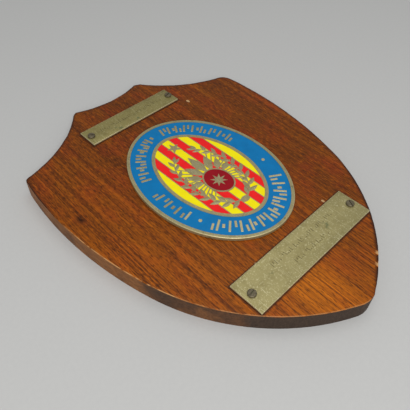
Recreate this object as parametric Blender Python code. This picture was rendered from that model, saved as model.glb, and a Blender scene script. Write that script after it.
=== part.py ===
"""Shield-shaped wall plaque: a hardwood board, an oval enamelled brass medallion, two engraved
brass name plates and the four small slotted screws that hold them.

Units are metres. The plaque lies on its flat back: +Z comes out of its front, +Y points to its
top and +X to the viewer's right. The origin is the middle of the back, where it meets the wall.
Places on the board are measured from its tip, up the middle line, and moved to that origin last.
"""
import math

import bmesh
import bpy
from mathutils import Matrix, Vector

# Board: a shield cut by hand, so each corner is blunted in its own way
BOARD_HEIGHT = 0.2200
BOARD_THICKNESS = 0.0116
TIP = (0.0, 0.0)
WAIST = (0.0743, 0.0801)
EAR = (0.0822, 0.1847)
SHOULDER = (0.0263, BOARD_HEIGHT)
LOWER_SIDE_BOW = 0.0126
UPPER_SIDE_BOW = 0.0058
SCOOP_DIP = 0.0065
TOP_DIP = 0.0055
ARRIS_ROUND = 0.0009
ARRIS_SEGMENTS = 3

# Blunted corners: cut back before the corner, after it, and how far the new edge bulges
TIP_BLUNT = (0.0040, 0.0040, 0.0004)
RIGHT_EAR_BLUNT = (0.0070, 0.0055, 0.0017)
RIGHT_SHOULDER_BLUNT = (0.0036, 0.0028, 0.0002)
LEFT_SHOULDER_BLUNT = (0.0014, 0.0056, 0.0005)
LEFT_EAR_BLUNT = (0.0020, 0.0020, 0.0005)
NO_BLUNT = (0.0, 0.0, 0.0)
CORNER_STEP = 0.0017
SHORTEST_EDGE = 0.0012
SIDE_STEPS = {"lower": 22, "upper": 16, "scoop": 14, "top": 12}

# Space between pieces that touch
GAP = 0.0003

# Medallion: half widths and half heights of its ovals, measured at the blue band's outer edge
MEDALLION_CENTRE = (0.00024, 0.1156)
MEDALLION_TURN = math.radians(2.2)
BLUE_BAND_HALF = (0.0406, 0.0535)
RIM_WIDTH = 0.00205
BLUE_BAND_WIDTH = 0.0130
INNER_RING_WIDTH = 0.0021
ENAMEL_LEVEL = 0.00165
RIM_HEIGHT = 0.00200
INNER_RING_HEIGHT = 0.00192
STRIPE_LINE_HEIGHT = 0.00175
MARK_HEIGHT = 0.00187
RIM_BEVEL = 0.00035
RIM_STEPS = 80
INNER_RING_STEPS = 56
STRIPES = 9
STRIPE_LINE_WIDTH = 0.0005
RELIEF_ROOT = 0.0008

# Medallion relief: laurel branches, a palmette and a roundel with a star
BRANCH_HALF = (0.0165, 0.0265)
BRANCH_CENTRE_UP = -0.0020
BRANCH_FROM = math.radians(-82.0)
BRANCH_TO = math.radians(58.0)
BRANCH_STEM_WIDTH = 0.0010
BRANCH_STEM_TAPER = 0.45
BRANCH_STEM_TOP = 0.00180
BRANCH_STEPS = 18
BRANCH_LEAVES = 18
FIRST_LEAF_AT = 0.6
LEAF_LENGTH = 0.0074
LEAF_WIDTH = 0.0027
LEAF_SPREAD = math.radians(34.0)
LEAF_SHRINK = 0.22
TIP_LEAF_SIZE = 0.75
LEAF_EDGE = 0.00183
LEAF_RIDGE = 0.00205
# Stations along a leaf: (share of its length, share of its greatest width)
LEAF_STATIONS = ((0.16, 0.55), (0.42, 1.0), (0.72, 0.72))
ROUNDEL_CENTRE_UP = -0.0085
ROUNDEL_HALF = (0.0088, 0.0106)
ROUNDEL_RIM = 0.0009
ROUNDEL_FLOOR = 0.00180
ROUNDEL_TOP = 0.00196
ROUNDEL_STEPS = 28
STAR_POINTS = 8
STAR_REACH = 0.0052
STAR_NOTCH = 0.42
STAR_ROOT = 0.00125
PALMETTE_LEAVES = 7
PALMETTE_START = 0.0094
PALMETTE_LENGTH = 0.0169
PALMETTE_WIDTH = 0.0056
PALMETTE_STEP = math.radians(21.0)
PALMETTE_SHORTER = 0.74
PALMETTE_LEAST_WIDTH = 0.55
KNOT_UP = -0.0292
KNOT_HALF = (0.0030, 0.0021)
KNOT_TOP = 0.00198
KNOT_STEPS = 16
TOP_STAR_POINTS = 5
TOP_STAR_UP = 0.0300
TOP_STAR_REACH = 0.0046

# Band of short raised strokes round the medallion: (first angle, last angle, strokes)
MARK_GROUPS = ((202.0, 168.0, 4), (156.0, 96.0, 8), (84.0, 12.0, 9), (-144.0, -36.0, 12))
MARK_LENGTH_TOP = 0.0064
MARK_LENGTH_FOOT = 0.0078
MARK_WIDTH = 0.0012
MARK_SPACING = 0.0027
SHORT_MARK = 0.56
SHORT_MARK_SHIFT = 0.22
DOT_SIZE = (0.00144, 0.00228)
DOT_AT = 0.0020
STUD_ANGLES = (-19.0, 209.0)
STUD_RADIUS = 0.0011
STUD_STEPS = 12

# Engraved plates: centre, length, height and turn, and each screw's distance from its end
PLATE_THICKNESS = 0.0009
PLATE_EDGE = 0.00018
PLATE_EDGE_SEGMENTS = 2
LOWER_PLATE = ((0.0007, 0.0430), (0.0928, 0.0209), math.radians(1.48), (0.0045, 0.0043))
UPPER_PLATE = ((0.0002, 0.1907), (0.0712, 0.0150), math.radians(1.32), (0.0034, 0.0027))

# Screws: low domed heads with a slot, and a plain shank that goes into the board
SCREW_HEAD_RADIUS = 0.0024
SCREW_HEAD_HEIGHT = 0.0011
SCREW_HEAD_RIM = 0.0003
SCREW_SHANK_RADIUS = 0.0011
SCREW_SHANK_LENGTH = 0.0075
SCREW_POINT_LENGTH = 0.0020
SCREW_POINT_STEP = 0.8
SCREW_STEPS = 24
SCREW_DOME_STEPS = 4
SCREW_SLOT_WIDTH = 0.0007
SCREW_SLOT_DEPTH = 0.0006
SCREW_SLOT_REACH = 0.0036
SCREW_HOLE_DEPTH = 0.0088
SCREW_HOLE_STEPS = 16
SCREW_SLOT_TURNS = {
    "lower_left_screw": math.radians(8.0),
    "lower_right_screw": math.radians(63.0),
    "upper_left_screw": math.radians(-32.0),
    "upper_right_screw": math.radians(12.0),
}

FRONT = BOARD_THICKNESS
SEAT = FRONT + GAP
TIP_TO_ORIGIN = BOARD_HEIGHT / 2


def clear_scene():
    """Removes every object, so the script can be run again."""
    for old in list(bpy.data.objects):
        bpy.data.objects.remove(old, do_unlink=True)


def on_board(x, y, z=0.0):
    """A point measured from the board's tip, in the plaque's own frame."""
    return Vector((x, y - TIP_TO_ORIGIN, z))


def make_material(name, colour, roughness, metallic=0.0):
    """A plain Principled material."""
    material = bpy.data.materials.new(name)
    material.use_nodes = True
    shader = material.node_tree.nodes["Principled BSDF"]
    shader.inputs["Base Color"].default_value = (*colour, 1.0)
    shader.inputs["Roughness"].default_value = roughness
    shader.inputs["Metallic"].default_value = metallic
    return material


def make_object(name, mesh_data, material=None):
    """Turns a bmesh into an object in the scene and frees it."""
    mesh = bpy.data.meshes.new(name)
    mesh_data.to_mesh(mesh)
    mesh_data.free()
    made = bpy.data.objects.new(name, mesh)
    bpy.context.scene.collection.objects.link(made)
    if material is not None:
        mesh.materials.append(material)
    return made


def as_helper(helper):
    """Marks an object as one that only cuts or joins."""
    helper.hide_render = True
    helper.display_type = "WIRE"
    return helper


def smooth(made, angle=35.0):
    """Shades an object smooth except over sharp edges."""
    made.data.shade_smooth()
    made.data.set_sharp_from_angle(angle=math.radians(angle))


def bowed(start, end, bow, steps):
    """Points on the arc from start to end that bulges to the right of that way by bow."""
    start, end = Vector(start), Vector(end)
    chord = end - start
    half = chord.length / 2
    along = chord.normalized()
    right = Vector((along.y, -along.x))
    radius = (half * half + bow * bow) / (2 * abs(bow))
    sign = math.copysign(1.0, bow)
    reach = math.asin(half / radius)
    middle = (start + end) / 2
    points = []
    for step in range(steps + 1):
        angle = -reach + 2 * reach * step / steps
        out = sign * (radius * math.cos(angle) - radius + abs(bow))
        points.append(middle + along * (radius * math.sin(angle)) + right * out)
    return points


def shortened(points, from_start, from_end):
    """A chain of points with a length taken off each end."""
    def cut(chain, length):
        chain = list(chain)
        while length > 0.0:
            piece = (chain[1] - chain[0]).length
            if piece > length:
                chain[0] = chain[0].lerp(chain[1], length / piece)
                return chain
            length -= piece
            chain.pop(0)
        return chain

    chain = cut(points, from_start)
    return list(reversed(cut(reversed(chain), from_end)))


def corner_arc(start, end, bulge):
    """The points between a blunted corner's two ends, in even steps."""
    steps = max(2, round((end - start).length / CORNER_STEP))
    return bowed(start, end, bulge, steps)[1:-1]


def shield_outline():
    """The board's outline, anticlockwise from its tip as seen from the front."""
    def mirrored(point):
        return (-point[0], point[1])

    runs = (
        (TIP, WAIST, LOWER_SIDE_BOW, SIDE_STEPS["lower"]),
        (WAIST, EAR, UPPER_SIDE_BOW, SIDE_STEPS["upper"]),
        (EAR, SHOULDER, -SCOOP_DIP, SIDE_STEPS["scoop"]),
        (SHOULDER, mirrored(SHOULDER), -TOP_DIP, SIDE_STEPS["top"]),
        (mirrored(SHOULDER), mirrored(EAR), -SCOOP_DIP, SIDE_STEPS["scoop"]),
        (mirrored(EAR), mirrored(WAIST), UPPER_SIDE_BOW, SIDE_STEPS["upper"]),
        (mirrored(WAIST), TIP, LOWER_SIDE_BOW, SIDE_STEPS["lower"]),
    )
    blunts = (TIP_BLUNT, NO_BLUNT, RIGHT_EAR_BLUNT, RIGHT_SHOULDER_BLUNT,
              LEFT_SHOULDER_BLUNT, LEFT_EAR_BLUNT, NO_BLUNT)
    points = []
    for index, (start, end, bow, steps) in enumerate(runs):
        before, after = blunts[index], blunts[(index + 1) % len(blunts)]
        chain = shortened(bowed(start, end, bow, steps), before[1], after[0])
        if points and before[2] > 0.0:
            points += corner_arc(points[-1], chain[0], before[2])
        points += chain
    points += corner_arc(points[-1], points[0], TIP_BLUNT[2])
    outline = points[:1]
    for point in points[1:]:
        if (point - outline[-1]).length >= SHORTEST_EDGE:
            outline.append(point)
    return outline


def prism(outline, low, high):
    """A closed upright prism over an anticlockwise outline of 2-D points."""
    return loft(((outline, low), (outline, high)))


def inset(outline, distance):
    """An anticlockwise outline moved inwards, with its corners kept."""
    moved = []
    count = len(outline)
    for index, point in enumerate(outline):
        into = (point - outline[index - 1]).normalized()
        away = (outline[(index + 1) % count] - point).normalized()
        inward = Vector((-into.y - away.y, into.x + away.x)).normalized()
        moved.append(point + inward * (distance / inward.dot(Vector((-into.y, into.x)))))
    return moved


def rounded_slab(outline, height, edge, segments):
    """A closed upright slab whose upper edge is a quarter round."""
    rings = [(outline, 0.0)]
    for segment in range(segments + 1):
        angle = math.pi / 2 * segment / segments
        rings.append((inset(outline, edge * (1 - math.cos(angle))), height - edge * (1 - math.sin(angle))))
    return loft(rings)


def loft(rings):
    """A closed solid through outlines with the same number of points, each with its level."""
    shape = bmesh.new()
    loops = [[shape.verts.new((point[0], point[1], level)) for point in outline]
             for outline, level in rings]
    shape.faces.new(list(reversed(loops[0])))
    shape.faces.new(loops[-1])
    count = len(loops[0])
    for lower, upper in zip(loops, loops[1:]):
        for index in range(count):
            following = (index + 1) % count
            shape.faces.new((lower[index], lower[following], upper[following], upper[index]))
    return shape


def oval(half_width, half_height, steps, centre=(0.0, 0.0)):
    """Points round an oval, anticlockwise."""
    return [Vector((centre[0] + half_width * math.cos(2 * math.pi * step / steps),
                    centre[1] + half_height * math.sin(2 * math.pi * step / steps)))
            for step in range(steps)]


def oval_band(outer, inner, low, high):
    """A closed flat ring between two ovals that have the same number of points."""
    shape = bmesh.new()
    rings = []
    for points, level in ((outer, low), (outer, high), (inner, high), (inner, low)):
        rings.append([shape.verts.new((point[0], point[1], level)) for point in points])
    count = len(outer)
    for index in range(count):
        following = (index + 1) % count
        for first, second in ((0, 1), (1, 2), (2, 3), (3, 0)):
            shape.faces.new((rings[first][index], rings[first][following],
                             rings[second][following], rings[second][index]))
    return shape


def oval_loft(half, levels, steps, centre=(0.0, 0.0)):
    """A closed solid through ovals grown by an amount at each level, flat at its two ends."""
    return loft([(oval(half[0] + grow, half[1] + grow, steps, centre), level) for grow, level in levels])


def turned_profile(profile, steps):
    """A closed round solid from a profile of (radius, height) points that starts and ends on the axis."""
    shape = bmesh.new()
    rings = []
    for radius, height in profile:
        if radius == 0.0:
            rings.append([shape.verts.new((0.0, 0.0, height))])
            continue
        rings.append([shape.verts.new((radius * math.cos(2 * math.pi * step / steps),
                                       radius * math.sin(2 * math.pi * step / steps), height))
                      for step in range(steps)])
    for lower, upper in zip(rings, rings[1:]):
        for step in range(steps):
            following = (step + 1) % steps
            if len(lower) == 1:
                shape.faces.new((lower[0], upper[following], upper[step]))
            elif len(upper) == 1:
                shape.faces.new((lower[step], lower[following], upper[0]))
            else:
                shape.faces.new((lower[step], lower[following], upper[following], upper[step]))
    return shape


def ridged_leaf(length, width, low, edge, ridge):
    """A pointed leaf along +Y with a raised rib down its middle."""
    shape = bmesh.new()
    right, left, middle = [], [], []
    for share, spread in LEAF_STATIONS:
        right.append((width / 2 * spread, length * share))
        left.append((-width / 2 * spread, length * share))
        middle.append((0.0, length * share))
    outline = [(0.0, 0.0), *right, (0.0, length), *reversed(left)]
    bottom = [shape.verts.new((x, y, low)) for x, y in outline]
    top = [shape.verts.new((x, y, edge)) for x, y in outline]
    rib = [shape.verts.new((x, y, ridge)) for x, y in middle]
    shape.faces.new(list(reversed(bottom)))
    count = len(outline)
    for index in range(count):
        following = (index + 1) % count
        shape.faces.new((bottom[index], bottom[following], top[following], top[index]))
    tip_index = len(right) + 1
    shape.faces.new((top[0], top[1], rib[0]))
    shape.faces.new((top[tip_index], rib[-1], top[tip_index - 1]))
    shape.faces.new((top[0], rib[0], top[-1]))
    shape.faces.new((top[tip_index], top[tip_index + 1], rib[-1]))
    for index in range(len(rib) - 1):
        shape.faces.new((top[index + 1], top[index + 2], rib[index + 1], rib[index]))
        shape.faces.new((rib[index], rib[index + 1], top[count - index - 2], top[count - index - 1]))
    return shape


def star_outline(points, reach, notch, up):
    """A star's outline with one point straight up."""
    outline = []
    for step in range(2 * points):
        radius = reach if step % 2 == 0 else reach * notch
        angle = math.pi / 2 + math.pi * step / points
        outline.append((radius * math.cos(angle), up + radius * math.sin(angle)))
    return outline


def placed(shape, x, y, turn):
    """Turns a bmesh about its own origin and moves it."""
    shape.transform(Matrix.Translation((x, y, 0.0)) @ Matrix.Rotation(turn, 4, "Z"))
    return shape


def laurel_branch(side):
    """The stem and the leaves of one branch, on side +1 (right) or -1 (left)."""
    pieces = []

    def on_stem(angle):
        return Vector((side * BRANCH_HALF[0] * math.cos(angle),
                       BRANCH_CENTRE_UP + BRANCH_HALF[1] * math.sin(angle)))

    route = [on_stem(BRANCH_FROM + (BRANCH_TO - BRANCH_FROM) * step / BRANCH_STEPS)
             for step in range(BRANCH_STEPS + 1)]
    outer, inner = [], []
    for index, point in enumerate(route):
        before, after = route[max(index - 1, 0)], route[min(index + 1, BRANCH_STEPS)]
        along = (after - before).normalized()
        out = Vector((along.y, -along.x)) * side
        half = BRANCH_STEM_WIDTH / 2 * (1.0 - BRANCH_STEM_TAPER * index / BRANCH_STEPS)
        outer.append(point + out * half)
        inner.append(point - out * half)
    outline = outer + list(reversed(inner))
    if side < 0:
        outline.reverse()
    pieces.append(prism(outline, RELIEF_ROOT, BRANCH_STEM_TOP))

    for index in range(BRANCH_LEAVES):
        share = (index + FIRST_LEAF_AT) / BRANCH_LEAVES
        angle = BRANCH_FROM + (BRANCH_TO - BRANCH_FROM) * share
        here, ahead = on_stem(angle), on_stem(angle + 0.01)
        along = ahead - here
        heading = math.atan2(along.y, along.x) - math.pi / 2
        spread = LEAF_SPREAD if index % 2 == 0 else -LEAF_SPREAD
        size = 1.0 - LEAF_SHRINK * share
        leaf = ridged_leaf(LEAF_LENGTH * size, LEAF_WIDTH * size, RELIEF_ROOT, LEAF_EDGE, LEAF_RIDGE)
        pieces.append(placed(leaf, here.x, here.y, heading + spread))
    end, before = route[-1], route[-2]
    along = end - before
    tip_leaf = ridged_leaf(LEAF_LENGTH * TIP_LEAF_SIZE, LEAF_WIDTH * TIP_LEAF_SIZE,
                           RELIEF_ROOT, LEAF_EDGE, LEAF_RIDGE)
    root = end - along / 2
    pieces.append(placed(tip_leaf, root.x, root.y, math.atan2(along.y, along.x) - math.pi / 2))
    return pieces


def palmette():
    """A fan of leaves that stands on the roundel."""
    pieces = []
    middle = (PALMETTE_LEAVES - 1) / 2
    for index in range(PALMETTE_LEAVES):
        offset = index - middle
        size = PALMETTE_SHORTER ** abs(offset)
        width = PALMETTE_WIDTH * (PALMETTE_LEAST_WIDTH + (1 - PALMETTE_LEAST_WIDTH) * size)
        leaf = ridged_leaf(PALMETTE_LENGTH * size, width, RELIEF_ROOT, LEAF_EDGE, LEAF_RIDGE)
        turn = -offset * PALMETTE_STEP
        pieces.append(placed(leaf, -PALMETTE_START * math.sin(turn),
                             ROUNDEL_CENTRE_UP + PALMETTE_START * math.cos(turn), turn))
    return pieces


def roundel():
    """The oval boss in the middle with its rim and its star."""
    centre = (0.0, ROUNDEL_CENTRE_UP)
    levels = ((0.0, RELIEF_ROOT), (0.0, ROUNDEL_TOP),
              (-ROUNDEL_RIM, ROUNDEL_TOP), (-ROUNDEL_RIM, ROUNDEL_FLOOR))
    star = star_outline(STAR_POINTS, STAR_REACH, STAR_NOTCH, ROUNDEL_CENTRE_UP)
    return [oval_loft(ROUNDEL_HALF, levels, ROUNDEL_STEPS, centre),
            prism(star, STAR_ROOT, MARK_HEIGHT)]


def stripe_lines(half_width, half_height):
    """The thin upright ridges between the coloured stripes, ending inside the inner ring."""
    pieces = []
    for index in range(1, STRIPES):
        x = half_width * (2 * index / STRIPES - 1)
        reach = half_height * math.sqrt(1 - (x / half_width) ** 2) + INNER_RING_WIDTH / 2
        half = STRIPE_LINE_WIDTH / 2
        corners = ((x - half, -reach), (x + half, -reach), (x + half, reach), (x - half, reach))
        pieces.append(prism(corners, RELIEF_ROOT, STRIPE_LINE_HEIGHT))
    return pieces


def band_marks():
    """Short raised strokes in the blue band, in groups, and two round studs between them."""
    pieces = []
    middle = [half - BLUE_BAND_WIDTH / 2 for half in BLUE_BAND_HALF]

    def bar(length, width, x, y, turn):
        corners = ((-width / 2, -length / 2), (width / 2, -length / 2),
                   (width / 2, length / 2), (-width / 2, length / 2))
        return placed(prism(corners, RELIEF_ROOT, MARK_HEIGHT), x, y, turn)

    for first, last, count in MARK_GROUPS:
        for index in range(count):
            angle = math.radians(first + (last - first) * (index + 0.5) / count)
            here = Vector((middle[0] * math.cos(angle), middle[1] * math.sin(angle)))
            out = Vector((math.cos(angle) / middle[0], math.sin(angle) / middle[1])).normalized()
            side = Vector((out.y, -out.x))
            turn = math.atan2(out.y, out.x) - math.pi / 2
            length = MARK_LENGTH_FOOT if first < -90.0 else MARK_LENGTH_TOP
            kind = index % 3
            tall = here - side * MARK_SPACING / 2
            pieces.append(bar(length, MARK_WIDTH, tall.x, tall.y, turn))
            if kind == 1:
                dot = here + side * DOT_AT
                pieces.append(bar(*DOT_SIZE, dot.x, dot.y, turn))
                continue
            shift = SHORT_MARK_SHIFT if kind == 0 else -SHORT_MARK_SHIFT
            short = here + side * MARK_SPACING / 2 + out * length * shift
            pieces.append(bar(length * SHORT_MARK, MARK_WIDTH, short.x, short.y, turn))

    for angle in STUD_ANGLES:
        centre = (middle[0] * math.cos(math.radians(angle)), middle[1] * math.sin(math.radians(angle)))
        pieces.append(prism(oval(STUD_RADIUS, STUD_RADIUS, STUD_STEPS, centre), RELIEF_ROOT, MARK_HEIGHT))
    return pieces


def make_medallion(material):
    """One oval brass casting with its enamel beds and all its relief."""
    ring_half = [half - BLUE_BAND_WIDTH for half in BLUE_BAND_HALF]
    field_half = [half - INNER_RING_WIDTH for half in ring_half]
    levels = ((RIM_WIDTH, 0.0), (RIM_WIDTH, RIM_HEIGHT - RIM_BEVEL), (RIM_WIDTH - RIM_BEVEL, RIM_HEIGHT),
              (0.0, RIM_HEIGHT), (0.0, ENAMEL_LEVEL))
    body = oval_loft(BLUE_BAND_HALF, levels, RIM_STEPS)
    relief = [oval_band(oval(*ring_half, INNER_RING_STEPS), oval(*field_half, INNER_RING_STEPS),
                        RELIEF_ROOT, INNER_RING_HEIGHT)]
    relief += stripe_lines(*field_half)
    for side in (1, -1):
        relief += laurel_branch(side)
    relief += palmette()
    relief += roundel()
    relief.append(prism(oval(*KNOT_HALF, KNOT_STEPS, (0.0, KNOT_UP)), RELIEF_ROOT, KNOT_TOP))
    top_star = star_outline(TOP_STAR_POINTS, TOP_STAR_REACH, STAR_NOTCH, TOP_STAR_UP)
    relief.append(prism(top_star, RELIEF_ROOT, MARK_HEIGHT))
    relief += band_marks()

    helpers = bpy.data.collections.new("medallion relief")
    bpy.context.scene.collection.children.link(helpers)
    for index, shape in enumerate(relief):
        helper = as_helper(make_object(f"relief_{index:03d}", shape))
        bpy.context.scene.collection.objects.unlink(helper)
        helpers.objects.link(helper)
        seat_medallion_piece(helper)

    medallion = make_object("medallion", body, material)
    seat_medallion_piece(medallion)
    join = medallion.modifiers.new("relief", "BOOLEAN")
    join.operation = "UNION"
    join.solver = "EXACT"
    join.operand_type = "COLLECTION"
    join.collection = helpers
    return medallion


def seat_medallion_piece(piece):
    """Puts a piece drawn about the medallion's centre on the board's front."""
    piece.location = on_board(*MEDALLION_CENTRE, SEAT)
    piece.rotation_euler = (0.0, 0.0, MEDALLION_TURN)


def screw_places(plate):
    """The two screws' centres on a plate, left one first, measured from the board's tip."""
    centre, size, turn, insets = plate
    along = Vector((math.cos(turn), math.sin(turn)))
    middle = Vector(centre)
    return (middle - along * (size[0] / 2 - insets[0]), middle + along * (size[0] / 2 - insets[1]))


def cut_holes(target, places, radius, low, high):
    """Cuts round holes through or into an object, from one height to another."""
    for index, place in enumerate(places):
        cutter = as_helper(make_object(f"{target.name}_hole_{index}",
                                       prism(oval(radius, radius, SCREW_HOLE_STEPS), low, high)))
        cutter.location = on_board(*place)
        cut = target.modifiers.new(f"hole {index}", "BOOLEAN")
        cut.operation = "DIFFERENCE"
        cut.solver = "EXACT"
        cut.object = cutter


def make_plate(name, plate, material):
    """A thin rectangular plate with softened front edges and two screw holes."""
    centre, size, turn, _ = plate
    half_length, half_height = size[0] / 2, size[1] / 2
    corners = [Vector((across * half_length, up * half_height))
               for across, up in ((-1, -1), (1, -1), (1, 1), (-1, 1))]
    slab = rounded_slab(corners, PLATE_THICKNESS, PLATE_EDGE, PLATE_EDGE_SEGMENTS)
    made = make_object(name, slab, material)
    made.location = on_board(*centre, SEAT)
    made.rotation_euler = (0.0, 0.0, turn)
    cut_holes(made, screw_places(plate), SCREW_SHANK_RADIUS + GAP, FRONT - GAP, SEAT + 2 * PLATE_THICKNESS)
    return made


def make_screw(name, place, material):
    """A slotted screw: a low dome on the plate and a shank down into the board."""
    head_seat = SEAT + PLATE_THICKNESS + GAP
    dome = SCREW_HEAD_HEIGHT - SCREW_HEAD_RIM
    dome_radius = (SCREW_HEAD_RADIUS ** 2 + dome ** 2) / (2 * dome)
    profile = [(0.0, -SCREW_SHANK_LENGTH),
               (SCREW_SHANK_RADIUS * SCREW_POINT_STEP,
                -SCREW_SHANK_LENGTH + SCREW_POINT_LENGTH * SCREW_POINT_STEP),
               (SCREW_SHANK_RADIUS, -SCREW_SHANK_LENGTH + SCREW_POINT_LENGTH),
               (SCREW_SHANK_RADIUS, 0.0),
               (SCREW_HEAD_RADIUS, 0.0),
               (SCREW_HEAD_RADIUS, SCREW_HEAD_RIM)]
    for step in range(1, SCREW_DOME_STEPS):
        radius = SCREW_HEAD_RADIUS * (1 - step / SCREW_DOME_STEPS)
        rise = math.sqrt(dome_radius ** 2 - radius ** 2) - (dome_radius - dome)
        profile.append((radius, SCREW_HEAD_RIM + rise))
    profile.append((0.0, SCREW_HEAD_HEIGHT))
    screw = make_object(name, turned_profile(profile, SCREW_STEPS), material)
    screw.location = on_board(*place, head_seat)
    smooth(screw)

    half = SCREW_SLOT_WIDTH / 2
    corners = ((-SCREW_SLOT_REACH, -half), (SCREW_SLOT_REACH, -half),
               (SCREW_SLOT_REACH, half), (-SCREW_SLOT_REACH, half))
    slot = as_helper(make_object(f"{name}_slot", prism(corners, SCREW_HEAD_HEIGHT - SCREW_SLOT_DEPTH,
                                                       SCREW_HEAD_HEIGHT * 2)))
    slot.location = screw.location
    slot.rotation_euler = (0.0, 0.0, SCREW_SLOT_TURNS[name])
    cut = screw.modifiers.new("slot", "BOOLEAN")
    cut.operation = "DIFFERENCE"
    cut.solver = "EXACT"
    cut.object = slot
    return screw


def make_board(material):
    """The shield-shaped board with its front edge rounded and its four screw holes."""
    shape = rounded_slab(shield_outline(), BOARD_THICKNESS, ARRIS_ROUND, ARRIS_SEGMENTS)
    board = make_object("shield_board", shape, material)
    board.location = on_board(0.0, 0.0)
    smooth(board)
    places = screw_places(LOWER_PLATE) + screw_places(UPPER_PLATE)
    cut_holes(board, places, SCREW_SHANK_RADIUS + GAP, FRONT - SCREW_HOLE_DEPTH, FRONT + SCREW_HOLE_DEPTH)
    return board


def main():
    clear_scene()
    wood = make_material("varnished hardwood", (0.190, 0.060, 0.014), 0.38)
    enamel = make_material("enamelled brass", (0.010, 0.160, 0.440), 0.25, 0.2)
    brass = make_material("dull brass", (0.350, 0.320, 0.160), 0.42, 1.0)
    dark_brass = make_material("tarnished brass", (0.110, 0.090, 0.055), 0.50, 1.0)

    make_board(wood)
    make_medallion(enamel)
    make_plate("lower_name_plate", LOWER_PLATE, brass)
    make_plate("upper_name_plate", UPPER_PLATE, brass)
    lower, upper = screw_places(LOWER_PLATE), screw_places(UPPER_PLATE)
    make_screw("lower_left_screw", lower[0], dark_brass)
    make_screw("lower_right_screw", lower[1], dark_brass)
    make_screw("upper_left_screw", upper[0], dark_brass)
    make_screw("upper_right_screw", upper[1], dark_brass)


main()
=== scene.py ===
"""Looks of the shield-shaped wall plaque: varnished board, enamelled medallion, plates and screws.

Every length is in metres unless its name ends in _mm. The plaque lies on its back: +Z comes out of
its front and +Y points to its top, with the origin in the middle of the back, as in the CAD model.
"""

import logging
import math
from contextlib import contextmanager
from dataclasses import dataclass
from enum import Enum
from typing import Any, Callable, Iterator, Sequence

import bmesh
import bpy
from mathutils import Matrix, Vector
from mathutils.kdtree import KDTree


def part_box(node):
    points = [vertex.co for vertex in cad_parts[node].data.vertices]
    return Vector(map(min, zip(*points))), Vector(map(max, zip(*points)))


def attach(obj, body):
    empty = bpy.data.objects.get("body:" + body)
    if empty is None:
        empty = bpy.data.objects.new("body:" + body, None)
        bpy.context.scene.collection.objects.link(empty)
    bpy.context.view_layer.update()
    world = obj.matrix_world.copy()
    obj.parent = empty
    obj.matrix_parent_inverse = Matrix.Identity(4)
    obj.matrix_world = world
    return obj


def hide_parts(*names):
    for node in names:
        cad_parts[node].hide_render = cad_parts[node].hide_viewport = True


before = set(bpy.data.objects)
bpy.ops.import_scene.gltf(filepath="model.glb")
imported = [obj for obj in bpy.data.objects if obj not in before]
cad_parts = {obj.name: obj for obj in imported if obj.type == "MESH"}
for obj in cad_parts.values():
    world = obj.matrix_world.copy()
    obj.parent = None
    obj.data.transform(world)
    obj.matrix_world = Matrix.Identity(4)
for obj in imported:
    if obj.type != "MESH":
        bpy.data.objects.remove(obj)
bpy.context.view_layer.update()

LOG = logging.getLogger("plaque")
MM = 0.001
SAME_PLACE = 1e-6
SAME_LEVEL = 0.01 * MM
FACING_UP = 0.9
SMOOTH_BELOW = 32.0
Colour = tuple[float, float, float, float]
Point = tuple[float, float, float]
Pair = tuple[float, float]
Span = tuple[float, ...]
Socket = bpy.types.NodeSocket
Object = bpy.types.Object
Material = bpy.types.Material
Face = bpy.types.MeshPolygon


def linear(hex_colour: str) -> Colour:
    """Turns an sRGB hex colour into linear RGBA.

    Args:
        hex_colour: A colour such as "#79431e".

    Returns:
        The colour's linear red, green and blue, and an alpha of 1.
    """
    shares = [int(hex_colour[i:i + 2], 16) / 255 for i in (1, 3, 5)]
    red, green, blue = (c / 12.92 if c <= 0.04045 else ((c + 0.055) / 1.055) ** 2.4 for c in shares)
    return (red, green, blue, 1.0)


def feed(node: bpy.types.Node, values: dict[Any, Any]) -> None:
    """Fills a node's inputs.

    Args:
        node: The node.
        values: Inputs by name or number, each with a constant, a hex colour or the output that feeds it.
    """
    for key, value in values.items():
        if isinstance(value, Socket):
            node.id_data.links.new(value, node.inputs[key])
        else:
            node.inputs[key].default_value = linear(value) if isinstance(value, str) else value


def add_node(tree: bpy.types.NodeTree, kind: str, values: dict[Any, Any] | None = None,
             stops: Sequence[tuple[float, str]] = (), **settings: Any) -> bpy.types.Node:
    """Adds a node with its settings, its socket values and its links.

    Args:
        tree: The node tree it goes into.
        kind: The node's type, such as "ShaderNodeMath".
        values: Input sockets by name or number, as feed takes them.
        stops: Places and hex colours along the node's colour ramp, if it has one.
        settings: The node's own properties.

    Returns:
        The new node.
    """
    made = tree.nodes.new(kind)
    for name, value in settings.items():
        setattr(made, name, value)
    feed(made, values or {})
    for index, (place, colour) in enumerate(stops):
        ramp = made.color_ramp.elements
        stop = ramp[index] if index < 2 else ramp.new(place)
        stop.position = place
        stop.color = linear(colour)
    return made


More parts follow.
